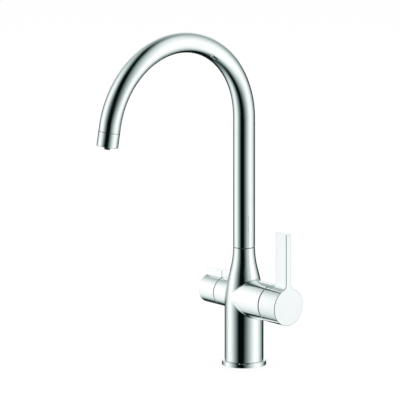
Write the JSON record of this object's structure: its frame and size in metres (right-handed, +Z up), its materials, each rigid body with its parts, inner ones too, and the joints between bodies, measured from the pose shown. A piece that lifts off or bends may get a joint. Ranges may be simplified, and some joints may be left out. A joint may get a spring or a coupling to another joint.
{
  "type": "kitchen mixer tap",
  "caption": "Tall swan-neck kitchen tap with a flat upright mixer lever on one side and a short fin lever for filtered water on the other.",
  "frame": {"origin": "middle of the base's underside, on the column's axis and on the worktop", "axes": "+Z up the column, -Y towards the outlet, +X towards the mixer lever, -X towards the filter lever"},
  "size_m": [0.1397, 0.2419, 0.4001],
  "materials": {
    "chrome_body": "polished chrome plate on brass",
    "chrome_lever": "polished chrome plate",
    "black_rubber": "matte moulded rubber",
    "dark_plastic": "smooth acetal",
    "grey_plastic": "satin moulded plastic",
    "cartridge_plastic": "moulded acetal",
    "tube_plastic": "smooth extruded tube",
    "ceramic_disc": "lapped",
    "brass": "turned, bare",
    "steel": "bare stainless",
    "nozzle_metal": "satin chrome"
  },
  "bodies": {
    "tap_body": {"body_casting": "chrome_body", "base_ring": "chrome_body", "base_gasket": "black_rubber", "neck_slide_ring": "dark_plastic", "spout_lock_screw": "steel", "mixer_cartridge_base": "cartridge_plastic", "mixer_port_seals": "black_rubber", "mixer_fixed_disc": "ceramic_disc", "mixer_cartridge_housing": "cartridge_plastic", "mixer_retaining_nut": "brass", "filter_seat_washer": "black_rubber", "filter_fixed_disc": "ceramic_disc", "filter_headwork": "brass"},
    "swivel_spout": {"spout_tube": "chrome_body", "spout_nipple": "brass", "spout_o_rings": "black_rubber", "filtered_tube": "tube_plastic", "tube_ferrule": "brass", "ferrule_o_ring": "black_rubber", "aerator_housing": "chrome_body", "aerator_washer": "black_rubber", "aerator_insert": "grey_plastic", "aerator_screen": "steel", "filtered_nozzle": "nozzle_metal"},
    "mixer_handle": {"mixer_lever": "chrome_lever", "mixer_lever_screw": "steel", "mixer_lever_plug": "grey_plastic", "mixer_spindle": "brass", "mixer_spindle_o_ring": "black_rubber", "mixer_disc_carrier": "cartridge_plastic", "mixer_moving_disc": "ceramic_disc"},
    "filter_handle": {"filter_lever": "chrome_lever", "filter_lever_screw": "steel", "filter_lever_plug": "grey_plastic", "filter_spindle": "brass", "filter_spindle_o_ring": "black_rubber", "filter_moving_disc": "ceramic_disc"}
  },
  "joints": [
    {"name": "spout_swivel", "type": "hinge", "parent": "tap_body", "child": "swivel_spout", "pos_m": [0, 0, 0.1366], "axis": [0, 0, 1], "continuous": true},
    {"name": "mixer_turn", "type": "hinge", "parent": "tap_body", "child": "mixer_handle", "pos_m": [0.0608, 0, 0.079], "axis": [1, 0, 0], "range_deg": [0, 100]},
    {"name": "filter_turn", "type": "hinge", "parent": "tap_body", "child": "filter_handle", "pos_m": [-0.048, 0, 0.079], "axis": [1, 0, 0], "range_deg": [0, 90]}
  ]
}
